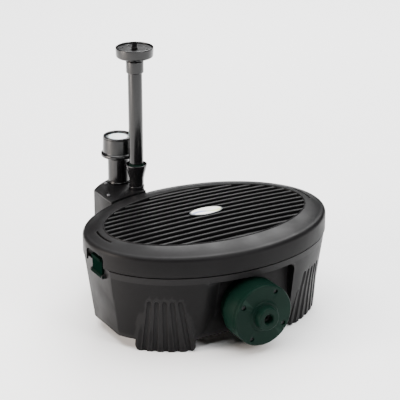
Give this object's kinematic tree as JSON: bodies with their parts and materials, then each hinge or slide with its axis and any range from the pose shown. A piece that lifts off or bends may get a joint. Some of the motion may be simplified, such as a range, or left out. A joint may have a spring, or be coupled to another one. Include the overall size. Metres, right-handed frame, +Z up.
{
  "type": "fountain submersible pump",
  "caption": "Oval in-pond filter with a slatted lid, a sealed motor end, an ultraviolet clarifier, a pond light and a fountain riser.",
  "frame": {"origin": "on the surface it stands on, below the middle of the whole pump", "axes": "+Z up, +X along the casing's long axis, -Y towards the motor's end cap"},
  "size_m": [0.4, 0.4184, 0.405],
  "materials": {
    "casing": "satin black moulded plastic",
    "green": "satin dark green moulded plastic",
    "gloss": "polished black moulded plastic",
    "foam": "open-cell filter foam",
    "badge": "printed cream plate",
    "steel": "stainless steel",
    "rubber": "black rubber",
    "copper": "enamelled copper winding",
    "magnet": "ferrite magnet",
    "ceramic": "ground ceramic",
    "glass": "clear quartz",
    "lens": "frosted white lens",
    "board": "circuit board"
  },
  "bodies": {
    "housing": {"base_tub": "casing", "foot_rear_right": "casing", "foot_rear_left": "casing", "foot_front_left": "casing", "foot_front_right": "casing", "media_tray": "casing", "foam_fine": "foam", "foam_coarse": "foam", "motor_housing": "green", "motor_end_cap": "green", "end_cap_screw_1": "steel", "end_cap_screw_2": "steel", "end_cap_screw_3": "steel", "end_cap_screw_4": "steel", "gland_seal": "rubber", "stator_core": "steel", "coil_rear": "copper", "coil_front": "copper", "rotor_shaft": "ceramic", "front_bush": "rubber", "rear_bush": "rubber", "pump_volute": "casing", "volute_cover": "casing", "volute_screw_1": "steel", "volute_screw_2": "steel", "volute_screw_3": "steel", "delivery_elbow": "casing", "delivery_pipe": "casing", "quartz_sleeve": "glass", "uv_lamp": "glass", "uv_cap": "casing", "uv_seal": "rubber", "outlet_housing": "casing", "outlet_cover": "casing", "cover_screw_1": "steel", "cover_screw_2": "steel", "cover_screw_3": "steel", "hose_tail": "casing", "lamp_column": "gloss", "lamp_head": "gloss", "lamp_bezel": "gloss", "lamp_lens": "lens", "led_board": "board", "riser_socket": "gloss", "riser_cup": "gloss"},
    "lid": {"lid_cover": "casing", "badge": "badge"},
    "clip_left": {"clip_left": "green"},
    "clip_right": {"clip_right": "green"},
    "rotor": {"rotor_magnet": "magnet", "impeller": "green"},
    "riser_seat": {"ball_seat": "rubber"},
    "riser_lower": {"riser_ball": "green", "riser_tube_outer": "gloss"},
    "riser_lock": {"riser_collar": "gloss"},
    "riser_upper": {"riser_tube_inner": "gloss"},
    "head": {"fountain_head": "gloss", "jet_plate": "gloss", "head_tab": "gloss"},
    "valve": {"flow_valve": "green"}
  },
  "joints": [
    {"name": "lid_lift", "type": "slide", "parent": "housing", "child": "lid", "axis": [0, 0, 1], "range_m": [0, 0.12]},
    {"name": "clip_left_swing", "type": "hinge", "parent": "housing", "child": "clip_left", "pos_m": [-0.193, -0.03315, 0.113], "axis": [0, -1, 0], "range_deg": [0, 60]},
    {"name": "clip_right_swing", "type": "hinge", "parent": "housing", "child": "clip_right", "pos_m": [0.193, -0.01515, 0.113], "axis": [0, 1, 0], "range_deg": [0, 60]},
    {"name": "rotor_spin", "type": "hinge", "parent": "housing", "child": "rotor", "pos_m": [0, -0.15415, 0.0624], "axis": [0, 1, 0], "continuous": true},
    {"name": "riser_swivel", "type": "hinge", "parent": "housing", "child": "riser_seat", "pos_m": [-0.0345, 0.13885, 0.182], "axis": [0, 0, 1], "continuous": true},
    {"name": "riser_tilt", "type": "hinge", "parent": "riser_seat", "child": "riser_lower", "pos_m": [-0.0345, 0.13885, 0.194], "axis": [1, 0, 0], "range_deg": [-5, 5]},
    {"name": "riser_lock_turn", "type": "hinge", "parent": "riser_lower", "child": "riser_lock", "pos_m": [-0.0345, 0.13885, 0.365], "axis": [0, 0, 1], "range_deg": [0, 90]},
    {"name": "riser_extend", "type": "slide", "parent": "riser_lower", "child": "riser_upper", "axis": [0, 0, 1], "range_m": [0, 0.1]},
    {"name": "head_turn", "type": "hinge", "parent": "riser_upper", "child": "head", "pos_m": [-0.0345, 0.13885, 0.38], "axis": [0, 0, 1], "continuous": true},
    {"name": "flow_valve_turn", "type": "hinge", "parent": "housing", "child": "valve", "pos_m": [-0.027, 0.17185, 0.114], "axis": [1, 0, 0], "range_deg": [0, 90]}
  ]
}
